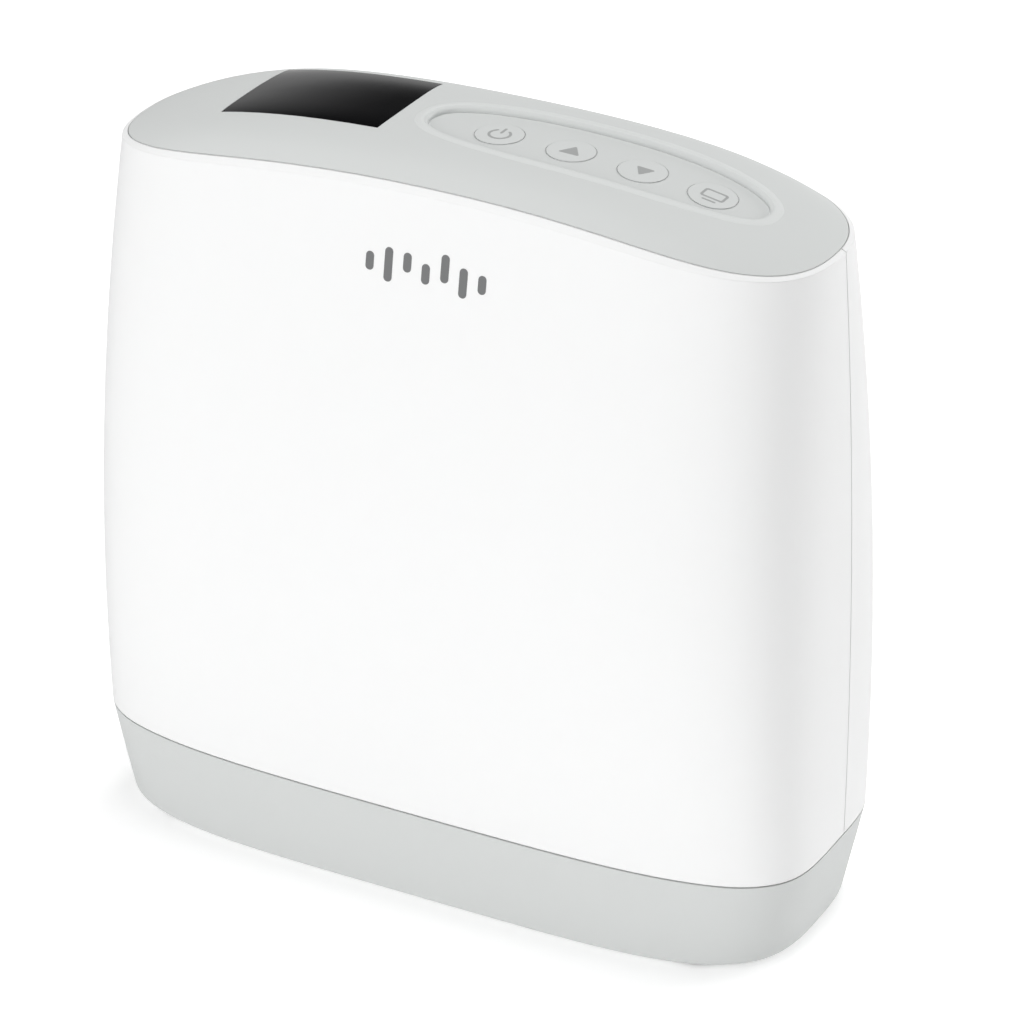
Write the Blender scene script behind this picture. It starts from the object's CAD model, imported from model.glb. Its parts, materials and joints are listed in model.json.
"""Upright portable unit: a casing with a domed top and four keys, standing on a battery pack.

The width lies along X, the front faces -Y, +Z is up and the feet stand at z = 0.
Sizes are in millimetres and become metres (MM) where meshes are made; the stage, the lights
and the camera are placed in metres.
"""
import bpy, bmesh, math, json, random
import numpy as np
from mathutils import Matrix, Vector
from mathutils.geometry import delaunay_2d_cdt


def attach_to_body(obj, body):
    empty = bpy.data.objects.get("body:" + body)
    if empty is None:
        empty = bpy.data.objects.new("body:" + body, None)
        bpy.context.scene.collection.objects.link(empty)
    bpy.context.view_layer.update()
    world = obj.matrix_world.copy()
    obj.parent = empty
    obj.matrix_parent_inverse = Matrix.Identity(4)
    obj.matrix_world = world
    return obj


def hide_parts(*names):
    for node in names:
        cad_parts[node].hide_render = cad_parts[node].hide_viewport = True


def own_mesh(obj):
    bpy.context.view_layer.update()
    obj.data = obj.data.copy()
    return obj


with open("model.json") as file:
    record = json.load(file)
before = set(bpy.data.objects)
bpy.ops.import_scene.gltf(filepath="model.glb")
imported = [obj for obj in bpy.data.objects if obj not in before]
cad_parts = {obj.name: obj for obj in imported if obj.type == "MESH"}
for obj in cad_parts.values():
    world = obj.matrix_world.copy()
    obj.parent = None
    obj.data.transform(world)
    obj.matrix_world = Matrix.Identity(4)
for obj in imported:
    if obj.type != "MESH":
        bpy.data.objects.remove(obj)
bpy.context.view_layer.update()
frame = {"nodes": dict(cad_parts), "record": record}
NODES = frame["nodes"]
SLOT_OF = {part["node"]: part["material_slot"] for part in frame["record"]["subparts"]}
random.seed(7)
MM = 0.001

# ============================================================ form of the casing
HALF_WIDTH, HALF_DEPTH = 105.0, 42.0
SPLIT_Z = 28.0                       # joint between battery pack and casing
RIM_Z = 203.65                       # level whose section sets the dome's outline
TOP_Z = 209.2
CROWN_DROP, CROWN_POWER = 9.66, 2.168    # fall of the dome along X
EDGE_DROP, EDGE_POWER = 7.0, 4.973       # fall of the dome towards its rim
# (z, share of the half size): a parabola runs through the three stations
WIDTH_STATIONS = ((SPLIT_Z, 1.0), (73.5, 1.0), (210.7, 0.937))
DEPTH_STATIONS = ((SPLIT_Z, 0.966), (127.8, 1.0), (210.7, 0.717))


def parabola(stations, z):
    (z0, v0), (z1, v1), (z2, v2) = stations
    return (v0 * (z - z1) * (z - z2) / ((z0 - z1) * (z0 - z2))
            + v1 * (z - z0) * (z - z2) / ((z1 - z0) * (z1 - z2))
            + v2 * (z - z0) * (z - z1) / ((z2 - z0) * (z2 - z1)))


def section(z):
    """half width, half depth and the superellipse powers in x and y at height z"""
    z = np.asarray(z, float)
    rise = np.minimum((z - SPLIT_Z) / (RIM_Z - SPLIT_Z), 1.12)
    return (HALF_WIDTH * parabola(WIDTH_STATIONS, z), HALF_DEPTH * parabola(DEPTH_STATIONS, z),
            3.776 + 2.389 * rise, 4.382 - 2.140 * rise)


RIM_X, RIM_Y, RIM_POWER_X, RIM_POWER_Y = section(RIM_Z)


def front_y(x, z):
    """y of the casing's front wall"""
    half_x, half_y, power_x, power_y = section(z)
    inside_x = np.maximum(1.0 - np.abs(x / half_x) ** power_x, 0.0)
    return -half_y * inside_x ** (1.0 / power_y)


def dome_z(x, y):
    """z of the dome; bisection finds how large a copy of the rim passes through (x, y)"""
    x, y = np.asarray(x, float), np.asarray(y, float)
    across, deep = np.abs(x / RIM_X), np.abs(y / RIM_Y)
    low, high = np.full(across.shape, 1e-5), np.full(across.shape, 4.0)
    for _ in range(38):
        middle = 0.5 * (low + high)
        outside = (across / middle) ** RIM_POWER_X + (deep / middle) ** RIM_POWER_Y > 1.0
        low = np.where(outside, middle, low)
        high = np.where(outside, high, middle)
    share = np.minimum(0.5 * (low + high), 1.35)
    return TOP_Z - CROWN_DROP * np.abs(x / HALF_WIDTH) ** CROWN_POWER - EDGE_DROP * share ** EDGE_POWER


def dome_normal(x, y):
    step = 0.5
    slope_x = (dome_z(x + step, y) - dome_z(x - step, y)) / (2 * step)
    slope_y = (dome_z(x, y + step) - dome_z(x, y - step)) / (2 * step)
    return Vector((-slope_x, -slope_y, 1.0)).normalized()


# ============================================================ materials
def set_inputs(tree, node, inputs):
    """set each named input to a value, or link it if given another node's output"""
    for socket, value in inputs.items():
        if isinstance(value, bpy.types.NodeSocket):
            tree.links.new(value, node.inputs[socket])
        else:
            node.inputs[socket].default_value = value


def add_node(tree, kind, inputs, **settings):
    node = tree.nodes.new("ShaderNode" + kind)
    for key, value in settings.items():
        setattr(node, key, value)
    set_inputs(tree, node, inputs)
    return node


def make_material(name, base, rough, vary, bump=0.0, grain=900.0, spec=0.5, metal=0.0, coat=0.0,
                  trans=0.0, ior=1.46, rough_vary=0.05, cells=False, edge=0.0, soft=0.0):
    """vary: colour drift; bump, grain: strength and scale of the surface grain; cells: pitted
    grain; edge: how much raised edges lighten; soft: shaded edge radius in mm (needs bump)"""
    material = bpy.data.materials.new(name)
    material.use_nodes = True
    tree = material.node_tree
    shader = tree.nodes["Principled BSDF"]
    set_inputs(tree, shader, {
        "Base Color": (*base, 1), "Roughness": rough, "Metallic": metal,
        "Specular IOR Level": spec, "IOR": ior, "Coat Weight": coat, "Coat Roughness": 0.08,
        "Transmission Weight": trans})
    vector = add_node(tree, "TexCoord", {}).outputs["Object"]

    # slow colour drift
    drift = add_node(tree, "TexNoise", {"Scale": 22.0, "Detail": 3.0, "Vector": vector})
    colour = add_node(tree, "Mix", {
        "A": (*[max(c - vary, 0) for c in base], 1), "B": (*[min(c + vary, 1) for c in base], 1),
        "Factor": drift.outputs["Fac"]}, data_type="RGBA").outputs["Result"]
    if edge:
        geometry = add_node(tree, "NewGeometry", {})
        worn = add_node(tree, "MapRange", {
            "From Min": 0.50, "From Max": 0.60, "To Min": 0.0, "To Max": edge,
            "Value": geometry.outputs["Pointiness"]})
        colour = add_node(tree, "Mix", {
            "Factor": worn.outputs["Result"], "A": colour,
            "B": (*[min(1, c * 1.25 + 0.05) for c in base], 1)},
            data_type="RGBA").outputs["Result"]

    # roughness drift
    drift = add_node(tree, "TexNoise", {"Scale": 60.0, "Detail": 4.0, "Vector": vector})
    roughness = add_node(tree, "MapRange", {
        "To Min": max(rough - rough_vary, 0.02), "To Max": min(rough + rough_vary, 1),
        "Value": drift.outputs["Fac"]})
    set_inputs(tree, shader, {"Base Color": colour, "Roughness": roughness.outputs["Result"]})

    if bump:
        if cells:
            texture = add_node(tree, "TexVoronoi", {"Scale": grain, "Vector": vector})
        else:
            texture = add_node(tree, "TexNoise", {"Scale": grain, "Detail": 2.0, "Vector": vector})
        relief = add_node(tree, "Bump", {
            "Strength": bump, "Distance": 0.0002,
            "Height": texture.outputs["Distance" if cells else "Fac"]})
        set_inputs(tree, shader, {"Normal": relief.outputs["Normal"]})
        if soft:
            bevel = add_node(tree, "Bevel", {"Radius": soft * MM}, samples=4)
            set_inputs(tree, relief, {"Normal": bevel.outputs["Normal"]})
    return material


LOOKS = {
    "casing_white": dict(base=(0.827, 0.83, 0.829), rough=0.36, vary=0.003, bump=0.04, grain=1800,
                         spec=0.4, coat=0.08, soft=0.45),
    "casing_gray": dict(base=(0.60, 0.615, 0.608), rough=0.46, vary=0.005, bump=0.10, grain=2400,
                        spec=0.35, soft=0.4),
    "key_gray": dict(base=(0.61, 0.625, 0.618), rough=0.42, vary=0.004, bump=0.06, grain=2400,
                     spec=0.35, soft=0.2),
    "window_black": dict(base=(0.004, 0.004, 0.0045), rough=0.12, vary=0.001, spec=0.22,
                         rough_vary=0.02),
    "inner_black": dict(base=(0.018, 0.018, 0.02), rough=0.5, vary=0.004, bump=0.25, grain=1500),
    "inner_gray": dict(base=(0.20, 0.21, 0.215), rough=0.5, vary=0.01, bump=0.2, grain=1500),
    "board_green": dict(base=(0.012, 0.10, 0.045), rough=0.32, vary=0.006, bump=0.15, grain=700,
                        coat=0.3),
    "foam_gray": dict(base=(0.05, 0.052, 0.056), rough=0.95, vary=0.02, bump=1.0, grain=900,
                      spec=0.1, cells=True),
    "rubber_black": dict(base=(0.018, 0.018, 0.018), rough=0.75, vary=0.004, bump=0.3, grain=1400,
                         spec=0.25),
    "silicone_clear": dict(base=(0.72, 0.75, 0.73), rough=0.28, vary=0.01, bump=0.05, grain=800,
                           trans=0.35, ior=1.41),
    "cast_alloy": dict(base=(0.42, 0.43, 0.44), rough=0.48, vary=0.03, bump=0.5, grain=1100,
                       metal=1.0, edge=0.4),
    "alloy_tube": dict(base=(0.62, 0.63, 0.64), rough=0.3, vary=0.02, bump=0.1, grain=1500,
                       metal=1.0),
    "steel": dict(base=(0.48, 0.48, 0.49), rough=0.28, vary=0.02, bump=0.1, grain=1600, metal=1.0),
    "screw_steel": dict(base=(0.35, 0.35, 0.36), rough=0.33, vary=0.02, bump=0.1, grain=1600,
                        metal=1.0, edge=0.5),
    "copper": dict(base=(0.62, 0.30, 0.16), rough=0.32, vary=0.03, bump=0.15, grain=1200,
                   metal=1.0),
    "brass": dict(base=(0.62, 0.46, 0.2), rough=0.28, vary=0.02, bump=0.08, grain=1300, metal=1.0,
                  edge=0.3),
    "cell_blue": dict(base=(0.02, 0.065, 0.20), rough=0.3, vary=0.005, bump=0.05, grain=800,
                      coat=0.3),
    "zeolite": dict(base=(0.55, 0.48, 0.36), rough=0.85, vary=0.04, bump=1.0, grain=1100,
                    cells=True),
    "rotor_black": dict(base=(0.022, 0.022, 0.025), rough=0.42, vary=0.004, bump=0.15, grain=1500),
    "print_gray": dict(base=(0.155, 0.158, 0.16), rough=0.45, vary=0.006, bump=0.05, grain=1500),
    "icon_gray": dict(base=(0.36, 0.368, 0.365), rough=0.45, vary=0.006, bump=0.05, grain=1500),
    "lip_gray": dict(base=(0.64, 0.655, 0.648), rough=0.46, vary=0.005, bump=0.10, grain=2400,
                     spec=0.35),
    "floor_paper": dict(base=(0.93, 0.93, 0.93), rough=0.95, vary=0.002, spec=0.0),
}
MATERIALS = {name: make_material(name, **look) for name, look in LOOKS.items()}


def paint(obj, material):
    obj.data.materials.clear()
    obj.data.materials.append(MATERIALS[material])


# ============================================================ mesh helpers
def add_object(name, mesh):
    obj = bpy.data.objects.new(name, mesh)
    bpy.context.scene.collection.objects.link(obj)
    return obj


def object_from_bmesh(name, bm):
    mesh = bpy.data.meshes.new(name)
    bm.to_mesh(mesh)
    bm.free()
    return add_object(name, mesh)


def sharpen(obj, angle):
    """smooth shading with edges over the angle left crisp"""
    bm = bmesh.new()
    bm.from_mesh(obj.data)
    limit = math.radians(angle)
    for face in bm.faces:
        face.smooth = True
    for edge in bm.edges:
        edge.smooth = not (len(edge.link_faces) == 2 and edge.calc_face_angle(0.0) > limit)
    bm.to_mesh(obj.data)
    bm.free()
    obj.data.update()


def closed_body(name, verts, faces, material, sharp):
    """object from points in mm, with its faces turned outwards"""
    mesh = bpy.data.meshes.new(name)
    points = [tuple(v) for v in np.asarray(verts, float) * MM]
    mesh.from_pydata(points, [], [tuple(int(i) for i in face) for face in faces])
    mesh.update()
    obj = add_object(name, mesh)
    bm = bmesh.new()
    bm.from_mesh(mesh)
    bmesh.ops.recalc_face_normals(bm, faces=bm.faces)
    bm.to_mesh(mesh)
    bm.free()
    sharpen(obj, sharp)
    paint(obj, material)
    return obj


def join(objects, name):
    """one object from several of the same material"""
    bm = bmesh.new()
    for obj in objects:
        bm.from_mesh(obj.data)
    joined = object_from_bmesh(name, bm)
    joined.data.materials.append(objects[0].data.materials[0])
    for obj in objects:
        bpy.data.objects.remove(obj)
    return joined


def attach(obj, body):
    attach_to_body(obj, body)
    return obj


def inside(outline, points):
    """even-odd test of 2D points against an outline"""
    x, y = points[:, 0], points[:, 1]
    result = np.zeros(len(points), bool)
    for (x1, y1), (x2, y2) in zip(outline, np.roll(outline, -1, 0)):
        if y1 != y2:
            result ^= ((y1 > y) != (y2 > y)) & (x < (x2 - x1) * (y - y1) / (y2 - y1) + x1)
    return result


def triangulate(loops):
    """2D points and counter-clockwise triangles of an outline (first loop) less its holes"""
    points, edges = [], []
    for loop in loops:
        start, count = len(points), len(loop)
        points += [Vector(p) for p in loop]
        edges += [(start + i, start + (i + 1) % count) for i in range(count)]
    result = delaunay_2d_cdt(points, edges, [], 0, 1e-6)
    verts = np.array([tuple(v) for v in result[0]])
    faces = np.array([f for f in result[2] if len(f) == 3])
    centres = verts[faces].mean(1)
    keep = inside(loops[0], centres)
    for hole in loops[1:]:
        keep &= ~inside(hole, centres)
    faces = faces[keep]
    used = np.unique(faces)
    renumber = -np.ones(len(verts), int)
    renumber[used] = np.arange(len(used))
    verts, faces = verts[used], renumber[faces]
    a, b, c = (verts[faces[:, i]] for i in range(3))
    turn = (b[:, 0] - a[:, 0]) * (c[:, 1] - a[:, 1]) - (b[:, 1] - a[:, 1]) * (c[:, 0] - a[:, 0])
    faces[turn < 0] = faces[turn < 0][:, ::-1]
    return verts, faces


def slab(name, shapes, place, top, bottom, material):
    """closed thin body; a shape is [outline, *holes], place(points, height) maps 2D to 3D"""
    verts, faces, base = [], [], 0
    for loops in shapes:
        flat, triangles = triangulate([np.array(loop) for loop in loops])
        n = len(flat)
        verts += [place(flat, top), place(flat, bottom)]
        edges = {(int(f[i]), int(f[(i + 1) % 3])) for f in triangles for i in range(3)}
        rim = sorted((u, v) for (u, v) in edges if (v, u) not in edges)
        faces += [tuple(f + base) for f in triangles]
        faces += [tuple(f[::-1] + n + base) for f in triangles]
        faces += [(u + n + base, v + n + base, v + base, u + base) for (u, v) in rim]
        base += 2 * n
    return closed_body(name, np.vstack(verts), faces, material, 40.0)


def stroke(points, width, cap_steps=8):
    """outline of a round-ended stroke along a polyline"""
    points = np.array(points, float)
    legs = np.diff(points, axis=0)
    legs /= np.linalg.norm(legs, axis=1, keepdims=True)
    along = np.vstack([legs[:1], (legs[:-1] + legs[1:]), legs[-1:]])
    along /= np.linalg.norm(along, axis=1, keepdims=True)
    normals = np.stack([-along[:, 1], along[:, 0]], 1)

    def cap(centre, start):
        angle = math.atan2(start[1], start[0])
        turns = [angle - math.pi * i / cap_steps for i in range(1, cap_steps)]
        return [tuple(centre + width / 2 * np.array([math.cos(a), math.sin(a)])) for a in turns]

    left = [tuple(p + n * width / 2) for p, n in zip(points, normals)]
    right = [tuple(p - n * width / 2) for p, n in zip(points, normals)]
    return left + cap(points[-1], normals[-1]) + right[::-1] + cap(points[0], -normals[0])


def arc(radius, start, end, cx=0.0, cy=0.0, steps=36):
    angles = [math.radians(start + (end - start) * i / steps) for i in range(steps + 1)]
    return [(cx + radius * math.cos(a), cy + radius * math.sin(a)) for a in angles]


def curve_corner(start, corner, end, steps=6):
    """points of the quadratic curve that rounds a corner"""
    shares = [i / steps for i in range(steps + 1)]
    return [(1 - s) ** 2 * start + 2 * s * (1 - s) * corner + s * s * end for s in shares]


def soft_polygon(points, radius):
    """polygon with rounded corners"""
    points = [np.array(p, float) for p in points]
    outline = []
    for i, corner in enumerate(points):
        before, after = points[i - 1] - corner, points[(i + 1) % len(points)] - corner
        before, after = before / np.linalg.norm(before), after / np.linalg.norm(after)
        angle = math.acos(float(np.clip(before @ after, -1, 1)))
        cut = radius / math.tan(angle / 2)
        outline += map(tuple, curve_corner(corner + before * cut, corner, corner + after * cut))
    return outline


def round_rectangle(x0, x1, y0, y1, r):
    corners = ((x1 - r, y1 - r, 0), (x0 + r, y1 - r, 90), (x0 + r, y0 + r, 180), (x1 - r, y0 + r, 270))
    return [p for cx, cy, start in corners for p in arc(r, start, start + 90, cx, cy, steps=6)]


def lathe(name, profile, origin, axis, material, steps=64, sharp=34.0):
    """solid of revolution; profile = [(radius, height along axis)], which starts and ends on
    the axis or else closes on itself as a ring"""
    axis = Vector(axis).normalized()
    side = axis.orthogonal().normalized()
    side, other, axis = np.array(side), np.array(axis.cross(side)), np.array(axis)
    origin = np.array(origin, float)
    angles = [2 * math.pi * i / steps for i in range(steps)]
    verts, faces, rings = [], [], []
    for radius, height in profile:
        if radius < 1e-6:
            rings.append((len(verts), 1))
            verts.append(origin + axis * height)
        else:
            rings.append((len(verts), steps))
            verts += [origin + radius * (math.cos(a) * side + math.sin(a) * other)
                      + axis * height for a in angles]
    pairs = list(zip(rings[:-1], rings[1:]))
    if profile[0][0] > 1e-6:
        pairs.append((rings[-1], rings[0]))
    for (s0, count0), (s1, count1) in pairs:
        for i in range(steps):
            j = (i + 1) % steps
            if count0 == 1:
                faces.append((s0, s1 + i, s1 + j))
            elif count1 == 1:
                faces.append((s0 + i, s1, s0 + j))
            else:
                faces.append((s0 + i, s1 + i, s1 + j, s0 + j))
    return closed_body(name, verts, faces, material, sharp)


def round_box(name, low, high, radius, segments, material):
    """box with all edges rounded"""
    bm = bmesh.new()
    bmesh.ops.create_cube(bm, size=1.0)
    for v in bm.verts:
        v.co = Vector([(c * (b - a) + (a + b) / 2) * MM for c, a, b in zip(v.co, low, high)])
    bmesh.ops.bevel(bm, geom=list(bm.edges), offset=radius * MM, segments=segments, profile=0.5,
                    affect="EDGES")
    obj = object_from_bmesh(name, bm)
    sharpen(obj, 50.0)
    paint(obj, material)
    return obj


def wire(name, points, radius, material, sides=14, bend=3.0):
    """round wire along a polyline with curved corners, ends capped"""
    points = [Vector(p) for p in points]
    path = [points[0]]
    for before, corner, after in zip(points, points[1:], points[2:]):
        cut = min(bend, 0.45 * (before - corner).length, 0.45 * (after - corner).length)
        path += curve_corner(corner + (before - corner).normalized() * cut, corner,
                             corner + (after - corner).normalized() * cut)
    path.append(points[-1])
    verts, last = [], len(path) - 1
    side = (path[1] - path[0]).normalized().orthogonal().normalized()
    for i, p in enumerate(path):
        along = (path[min(i + 1, last)] - path[max(i - 1, 0)]).normalized()
        side = (side - along * side.dot(along)).normalized()
        other = along.cross(side)
        for j in range(sides):
            a = 2 * math.pi * j / sides
            verts.append(tuple(p + radius * (math.cos(a) * side + math.sin(a) * other)))
    faces = []
    for i in range(0, last * sides, sides):
        for j in range(sides):
            k = (j + 1) % sides
            faces.append((i + j, i + k, i + sides + k, i + sides + j))
    faces.append(tuple(range(sides))[::-1])
    faces.append(tuple(last * sides + j for j in range(sides)))
    return closed_body(name, verts, faces, material, 50.0)


# ============================================================ keys and their recess
KEY_X, KEY_Y = (6.2, 26.5, 46.5, 66.0), -1.1
KEY_DEPTH = 1.35                     # key face below the dome
# (object, key, shapes centred on the key)
SYMBOLS = (
    ("symbol_power", "power_key", [[stroke(arc(2.75, 128, 412), 0.72)],
                                   [stroke([(0, 0.9), (0, 2.0), (0, 3.5)], 0.72)]]),
    ("symbol_up", "flow_up_key", [[soft_polygon([(-3.0, -1.9), (3.0, -1.9), (0, 2.9)], 0.45)]]),
    ("symbol_down", "flow_down_key", [[soft_polygon([(-2.6, 1.8), (2.6, 1.8), (0, -2.6)], 0.45)]]),
    ("symbol_screen", "screen_key", [[round_rectangle(-3.2, 3.2, -1.9, 2.5, 0.9),
                                      round_rectangle(-2.55, 2.55, -1.25, 1.85, 0.45)],
                                     [stroke([(-1.6, -3.1), (0, -3.1), (1.6, -3.1)], 0.6)]]),
)
SEAL_PROFILE = [(6.33, -2.1), (6.47, -2.1), (6.47, -1.66), (6.33, -1.66)]
# recess outline, a superellipse: centre x, y, half sizes x, y, power
RECESS = (33.2, -0.3, 46.8, 12.5, 2.6)
LIP_OFFSET = 0.9                     # from the recess outline to the start of the lip
# (distance outwards, height over the dome)
LIP_PROFILE = [(0.05, -0.12), (0.10, 0.03), (0.35, 0.16), (0.75, 0.26), (1.15, 0.25),
               (1.65, 0.16), (2.15, 0.06), (2.6, -0.03), (2.7, -0.12)]


def build_symbols():
    for key_x, (name, key, shapes) in zip(KEY_X, SYMBOLS):
        def place(points, height):
            x, y = points[:, 0] + key_x, points[:, 1] + KEY_Y
            return np.column_stack([x, y, dome_z(x, y) - KEY_DEPTH + height])
        attach(slab(name, shapes, place, 0.03, -0.06, "icon_gray"), key)


def build_key_seals():
    """soft seals that close the gap round each key"""
    seals = [lathe("seal", SEAL_PROFILE, (x, KEY_Y, float(dome_z(x, KEY_Y))),
                   dome_normal(x, KEY_Y), "key_gray", steps=96) for x in KEY_X]
    attach(join(seals, "key_seals"), "casing")


def build_recess_lip():
    """soft raised lip round the key recess"""
    cx, cy, half_x, half_y, power = RECESS
    steps, rows = 240, len(LIP_PROFILE)
    t = np.linspace(0, 2 * math.pi, steps, endpoint=False)
    c, s = np.cos(t), np.sin(t)
    outline_x = half_x * np.sign(c) * np.abs(c) ** (2 / power)
    outline_y = half_y * np.sign(s) * np.abs(s) ** (2 / power)
    normal_x = np.sign(c) * np.abs(c) ** (2 - 2 / power) / half_x
    normal_y = np.sign(s) * np.abs(s) ** (2 - 2 / power) / half_y
    length = np.hypot(normal_x, normal_y)
    normal_x, normal_y = normal_x / length, normal_y / length
    verts, faces = [], []
    for distance, height in LIP_PROFILE:
        x = cx + outline_x + normal_x * (LIP_OFFSET + distance)
        y = cy + outline_y + normal_y * (LIP_OFFSET + distance)
        verts.append(np.column_stack([x, y, dome_z(x, y) + height]))
    for j in range(rows):
        row, following = j * steps, (j + 1) % rows * steps
        for i in range(steps):
            k = (i + 1) % steps
            faces.append((row + i, row + k, following + k, following + i))
    lip = closed_body("recess_lip", np.vstack(verts), faces, "lip_gray", 60.0)
    attach(lip, "casing")


# ============================================================ mark on the front
# (bottom z, top z) of the bars, from left to right
MARK_BARS = [(180.6, 185.4), (178.6, 187.4), (182.0, 187.0), (180.0, 185.2),
             (181.4, 188.6), (178.6, 186.2), (180.6, 185.4)]
FIRST_BAR_X, BAR_PITCH, BAR_HALF_WIDTH, BAR_CORNER = -12.2, 5.3, 1.15, 1.1


def build_front_mark():
    """seven rounded bars laid on the front wall"""
    def place(points, height):
        x, z = points[:, 0], points[:, 1]
        return np.column_stack([x, front_y(x, z) - height, z])
    bars = []
    for i, (z0, z1) in enumerate(MARK_BARS):
        x = FIRST_BAR_X + BAR_PITCH * i
        bars.append([round_rectangle(x - BAR_HALF_WIDTH, x + BAR_HALF_WIDTH, z0, z1, BAR_CORNER)])
    attach(slab("front_mark", bars, place, 0.05, -0.12, "print_gray"), "casing")


# ============================================================ rubber feet
FOOT_X, FOOT_Y = 78, 26
# (radius, z): the underside carries raised rings
FOOT_PROFILE = [(0, 2.15), (6.0, 2.15), (6.0, 0.75), (5.86, 0.38), (5.5, 0.12), (5.0, 0.0),
                (4.5, 0.0), (4.3, 0.3), (3.5, 0.3), (3.3, 0.0), (2.6, 0.0), (2.4, 0.3),
                (1.6, 0.3), (1.4, 0.0), (0, 0.0)]


def build_feet():
    feet = [lathe("foot", FOOT_PROFILE, (x, y, 0), (0, 0, 1), "rubber_black", sharp=60.0)
            for y in (-FOOT_Y, FOOT_Y) for x in (-FOOT_X, FOOT_X)]
    feet = attach(join(feet, "feet_treads"), "battery_pack")
    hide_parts("rubber_feet")


# ============================================================ open-cell foam block
FOAM_X, FOAM_Y, FOAM_Z = (-73.0, -23.0), (28.8, 33.6), (115.5, 164.5)
FOAM_GRID = (96, 94)                 # points along x and z
PIT_COUNT, PIT_RADIUS = 900, (0.45, 1.0)
PIT_DEPTH = 0.7                      # depth over radius
PIT_MARGIN, ROLL_WIDTH = 0.8, 1.2    # unpitted border and rounded border


def build_foam():
    """block with a pitted back (+Y) face"""
    nx, nz = FOAM_GRID
    rng = np.random.default_rng(5)
    x, z = np.meshgrid(np.linspace(*FOAM_X, nx), np.linspace(*FOAM_Z, nz), indexing="ij")
    pits = [rng.uniform(*span, PIT_COUNT) for span in (FOAM_X, FOAM_Z, PIT_RADIUS)]
    pit = np.zeros(x.shape)
    for cx, cz, r in zip(*pits):
        d2 = ((x - cx) ** 2 + (z - cz) ** 2) / (r * r)
        pit = np.maximum(pit, np.where(d2 < 1, (1 - d2) * r * PIT_DEPTH, 0))
    border = np.minimum(np.minimum(x - FOAM_X[0], FOAM_X[1] - x),
                        np.minimum(z - FOAM_Z[0], FOAM_Z[1] - z))
    roll = np.where(border < ROLL_WIDTH, (1 - border / ROLL_WIDTH) ** 2, 0)
    pitted = FOAM_Y[1] - pit * (border > PIT_MARGIN) - roll
    verts = [np.column_stack([x.ravel(), y.ravel(), z.ravel()])
             for y in (pitted, np.full(x.shape, FOAM_Y[0]))]

    k = nx * nz                      # offset from a pitted point to the flat one behind it
    faces = []
    for i in range(nx - 1):
        for j in range(nz - 1):
            a, b = i * nz + j, (i + 1) * nz + j
            faces += [(a, b, b + 1, a + 1), (a + k, a + 1 + k, b + 1 + k, b + k)]
    for i in range(nx - 1):
        a, b = i * nz, (i + 1) * nz
        faces.append((a, a + k, b + k, b))
        a, b = a + nz - 1, b + nz - 1
        faces.append((a, b, b + k, a + k))
    for a in range(nz - 1):
        faces.append((a, a + 1, a + 1 + k, a + k))
        b = a + (nx - 1) * nz
        faces.append((b, b + k, b + 1 + k, b + 1))
    foam = closed_body("foam_block", np.vstack(verts), faces, "foam_gray", 70.0)
    attach(foam, "casing")
    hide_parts("intake_filter")


# ============================================================ battery pack
CELL_X, CELL_Z, CELL_PITCH = -66.5, 14.2, 19.0    # first cell's axis and the spacing
STRIP_OVERHANG, STRIP_HALF_HEIGHT = 4.2, 3.0
# (outward direction in y, low y, high y)
STRIP_SIDES = ((-1, -32.62, -32.42), (1, 32.62, 32.82))
WELD_PROFILE = [(0, 0.0), (0.55, 0.0), (0.5, 0.1), (0.3, 0.13), (0, 0.09)]
# folded leaf in the xz plane, from its lower end round the fold to its upper end
LEAF_PATH = ([(-97.3, 28.76), (-98.4, 28.80), (-100.0, 29.26)]
             + arc(0.3, 253.5, 106.0, -101.6, 30.04, 14)
             + [(-100.0, 30.82), (-98.5, 31.25), (-98.0, 31.28)])
LEAF_THICKNESS, LEAF_HALF_WIDTH = 0.24, 1.6


def build_cell_strips():
    """nickel strips that each bridge two cells, with two weld marks per cell"""
    parts = []
    for outward, y0, y1 in STRIP_SIDES:
        outer_y = y1 if outward > 0 else y0
        for i in range(4):
            first = CELL_X + 2 * CELL_PITCH * i
            second = first + CELL_PITCH
            parts.append(round_box(
                "strip", (first - STRIP_OVERHANG, y0, CELL_Z - STRIP_HALF_HEIGHT),
                (second + STRIP_OVERHANG, y1, CELL_Z + STRIP_HALF_HEIGHT), 0.05, 1, "alloy_tube"))
            parts += [lathe("weld", WELD_PROFILE, (x + dx, outer_y, CELL_Z + dz),
                            (0, outward, 0), "alloy_tube", steps=16)
                      for x in (first, second) for dx, dz in ((-1.1, 0.9), (1.1, -0.9))]
    attach(join(parts, "cell_strips"), "battery_pack")


def build_pack_leads():
    leads = []
    for x in (-76.6, -76.6 + 1.2):
        path = [(x, 33.6, 16.0), (x, 33.6, 24.85), (x, 9.4, 24.85)]
        leads.append(wire("lead", path, 0.48, "rubber_black"))
    attach(join(leads, "pack_leads"), "battery_pack")


def build_latch_leaf():
    """folded leaf spring under the latch; it flattens as the latch goes down"""
    def place(points, y):
        return np.column_stack([points[:, 0], np.full(len(points), y), points[:, 1]])
    leaf = slab("latch_leaf", [[stroke(LEAF_PATH, LEAF_THICKNESS, 4)]], place,
                LEAF_HALF_WIDTH, -LEAF_HALF_WIDTH, "steel")
    attach(leaf, "battery_pack")
    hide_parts("latch_spring")
    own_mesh(leaf)


# ============================================================ parts on the circuit boards
GROW = 0.07                          # added to the free sides of every chip and plug
BOARD_Y = -29.45                     # where parts meet the upright board
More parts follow.
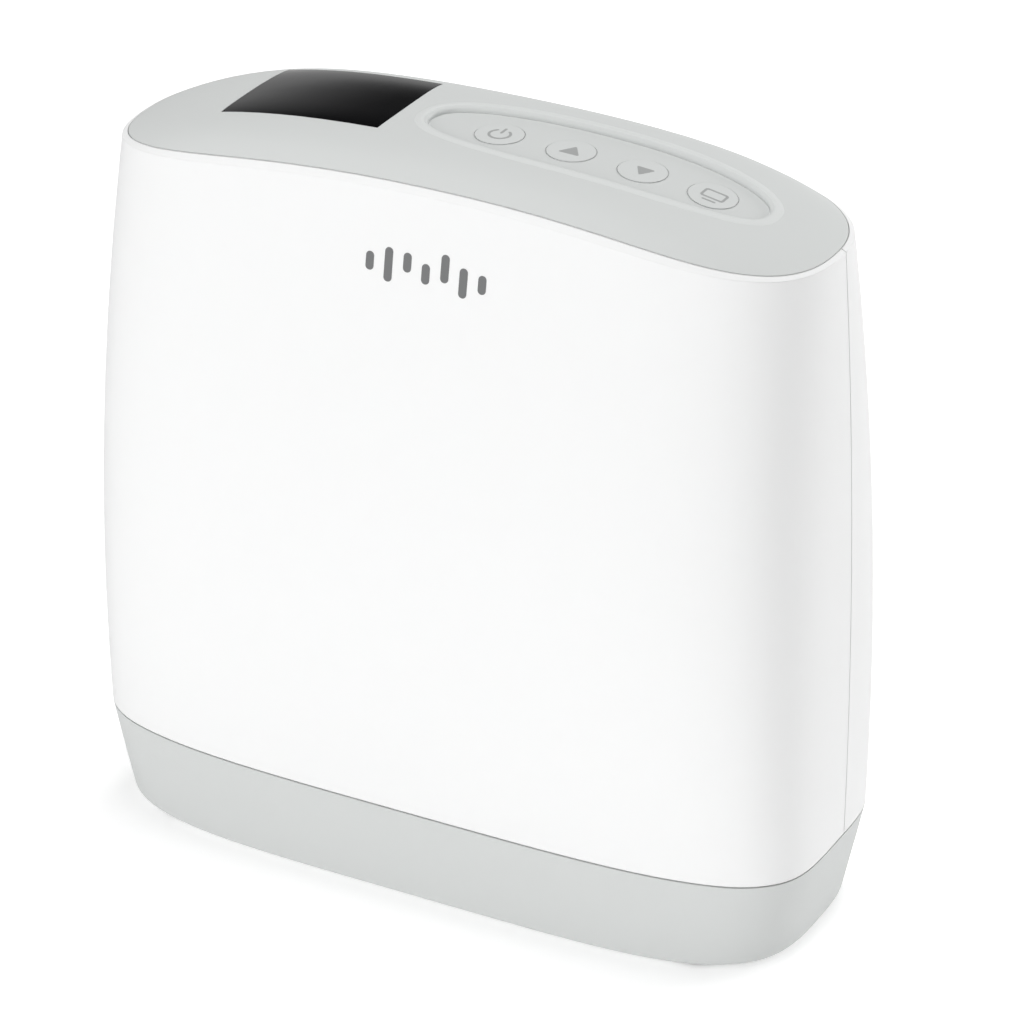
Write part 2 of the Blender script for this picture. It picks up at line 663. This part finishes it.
# (x0, x1, front y, z0, z1)
CHIPS = [(16, 34, -32.4, 120, 138), (44, 54, -31.4, 118, 128), (60, 70, -31.4, 120, 134),
         (12, 20, -32.0, 100, 108), (30, 36, -31.2, 100, 106), (46, 66, -31.2, 102, 108),
         (40, 52, -33.0, 84, 96), (58, 70, -33.4, 84, 96), (14, 30, -34.0, 84, 92)]
PLUGS = [(12, 26, -34.4, 48, 54), (34, 48, -34.4, 48, 54), (56, 74, -34.4, 48, 54)]
# (x0, x1, y0, y1, z0, z1): chips hanging under the top board, chips on the pack's board
TOP_CHIPS = [(12, 22, 6, 14, 193.0 - 1.4 - GROW, 192.96),
             (30, 37, 7, 14, 193.0 - 1.2 - GROW, 192.96)]
PACK_CHIPS = [(-60, -50, -5, 5, 26.42, 28.8 + GROW), (-20, 0, -6, 6, 26.42, 29.4 + GROW),
              (30, 44, -4, 4, 26.42, 28.6 + GROW)]
PIN_PITCH = 1.6
CAN_PROFILE = [(0, 0.1), (4.06, 0.1), (4.06, 5.6), (3.85, 5.85), (4.06, 6.1), (4.06, 6.9),
               (3.6, 7.3), (3.3, 7.46), (0, 7.46)]


def upright_part(name, box, corner, material):
    x0, x1, y0, z0, z1 = box
    return round_box(name, (x0 - GROW, y0 - GROW, z0 - GROW), (x1 + GROW, BOARD_Y, z1 + GROW),
                     corner, 2, material)


def flat_chip(box):
    x0, x1, y0, y1, z0, z1 = box
    return round_box("chip", (x0 - GROW, y0 - GROW, z0), (x1 + GROW, y1 + GROW, z1),
                     0.25, 2, "inner_black")


def chip_pins(box):
    """rows of pins along both x sides of an upright chip"""
    x0, x1, _, z0, z1 = box
    pins = []
    for i in range(int((z1 - z0) / PIN_PITCH)):
        z = z0 + 0.9 + PIN_PITCH * i
        for low, high in ((x0 - 1.1, x0 - 0.05), (x1 + 0.05, x1 + 1.1)):
            pins.append(round_box("pin", (low, -29.62, z - 0.22), (high, -29.42, z + 0.22),
                                  0.04, 1, "alloy_tube"))
    return pins


def build_board_parts():
    chips = [upright_part("chip", box, 0.35, "inner_black") for box in CHIPS]
    chips += [flat_chip(box) for box in TOP_CHIPS]
    attach(join(chips, "board_chips"), "casing")
    pins = [pin for box in CHIPS for pin in chip_pins(box)]
    attach(join(pins, "chip_pins"), "casing")
    plugs = [upright_part("plug", box, 0.4, "key_gray") for box in PLUGS]
    attach(join(plugs, "board_plugs"), "casing")
    cans = [lathe("can", CAN_PROFILE, (x, -27.8, 60), (0, 1, 0), "alloy_tube") for x in (20, 31)]
    attach(join(cans, "board_capacitors"), "casing")
    chips = [flat_chip(box) for box in PACK_CHIPS]
    attach(join(chips, "pack_chips"), "battery_pack")


def build_display_wires():
    """seven wires side by side, rising from a plug to the top"""
    wires = []
    for j in range(7):
        path = [(37.5 + j, -34.9, 54.2), (37.5 + j, -35.4, 62), (37.5 + j, -35.6, 112),
                (10.0 + j, -31.5, 160), (-9.0 + j, -26.0, 180), (-9.0 + j, -10.5, 186.2),
                (-9.0 + j, -10.5, 188.2)]
        wires.append(wire("wire", path, 0.46, "rubber_black", sides=10, bend=4.0))
    attach(join(wires, "display_wires"), "casing")


# ============================================================ outlet
OUTLET_SEAL_PROFILE = [(5.5, 0.0), (7.9, 0.0), (8.1, 0.25), (8.1, 0.75), (7.7, 1.05),
                       (7.0, 1.15), (6.2, 1.05), (5.7, 0.8), (5.5, 0.4)]


def build_outlet_seal():
    """sealing ring round the nozzle's root"""
    seal = lathe("outlet_seal", OUTLET_SEAL_PROFILE, (-92.58, 4.0, 163.0), (-1, 0, 0),
                 "rubber_black")
    attach(seal, "casing")


# ============================================================ stage (metres)
scene = bpy.context.scene


def direction(azimuth, elevation):
    """unit vector; azimuth runs from -Y towards +X, both in degrees"""
    a, e = math.radians(azimuth), math.radians(elevation)
    return Vector((math.sin(a) * math.cos(e), -math.cos(a) * math.cos(e), math.sin(e)))


def build_floor():
    bm = bmesh.new()
    bmesh.ops.create_grid(bm, x_segments=8, y_segments=8, size=4.0)
    floor = object_from_bmesh("floor", bm)
    tree = MATERIALS["floor_paper"].node_tree
    set_inputs(tree, tree.nodes["Principled BSDF"],
               {"Emission Color": (1, 1, 1, 1), "Emission Strength": 0.32})
    paint(floor, "floor_paper")
    floor.visible_glossy = False


def build_world():
    """white to the camera, dim to diffuse rays, bright low down and dark overhead to glossy"""
    world = bpy.data.worlds.new("studio")
    scene.world = world
    world.use_nodes = True
    tree = world.node_tree
    rays = add_node(tree, "LightPath", {})
    coords = add_node(tree, "TexCoord", {})
    axes = add_node(tree, "SeparateXYZ", {"Vector": coords.outputs["Generated"]})
    reflected = add_node(tree, "MapRange", {
        "From Min": 0.20, "From Max": 0.345, "To Min": 0.76, "To Max": 0.01,
        "Value": axes.outputs["Z"]})
    unseen = add_node(tree, "Mix", {
        "A": 0.275, "B": reflected.outputs["Result"],
        "Factor": rays.outputs["Is Glossy Ray"]}, data_type="FLOAT")
    strength = add_node(tree, "Mix", {
        "A": unseen.outputs["Result"], "B": 1.0,
        "Factor": rays.outputs["Is Camera Ray"]}, data_type="FLOAT")
    set_inputs(tree, tree.nodes["Background"],
               {"Color": (1.0, 1.0, 1.0, 1), "Strength": strength.outputs["Result"]})


def add_light(name, azimuth, elevation, distance, size, power, glossy=True):
    """square soft light aimed at the object's middle"""
    data = bpy.data.lights.new(name, "AREA")
    data.energy = power
    data.size = size
    light = add_object(name, data)
    away = direction(azimuth, elevation)
    light.location = Vector((0, 0, 0.1)) + away * distance
    light.rotation_euler = away.to_track_quat("Z", "Y").to_euler()
    light.visible_glossy = glossy


def build_camera(target, azimuth, elevation, distance, lens):
    data = bpy.data.cameras.new("camera")
    camera = add_object("camera", data)
    away = direction(azimuth, elevation)
    camera.location = Vector(target) + away * distance
    camera.rotation_euler = (-away).to_track_quat("-Z", "Y").to_euler()
    data.sensor_width = 36.0
    data.lens = lens
    data.clip_start = 0.01
    scene.camera = camera


# ============================================================ build
for node_name, node_object in NODES.items():
    paint(node_object, SLOT_OF[node_name])

build_symbols()
build_key_seals()
build_recess_lip()
build_front_mark()
build_feet()
build_foam()
build_cell_strips()
build_pack_leads()
build_latch_leaf()
build_board_parts()
build_display_wires()
build_outlet_seal()

build_floor()
build_world()
add_light("key_light", azimuth=-22, elevation=25, distance=1.5, size=0.8, power=7.3)
add_light("fill_light", azimuth=12, elevation=25, distance=1.5, size=0.8, power=4.5)
add_light("side_light", azimuth=144, elevation=12, distance=1.5, size=0.7, power=10.2)
add_light("top_light", azimuth=170, elevation=78, distance=1.4, size=0.8, power=11.4, glossy=False)
build_camera(target=(0.009094, 0.0, 0.100955), azimuth=28.041, elevation=27.688,
             distance=1.2297, lens=165.39891)
scene.view_settings.view_transform = "Standard"
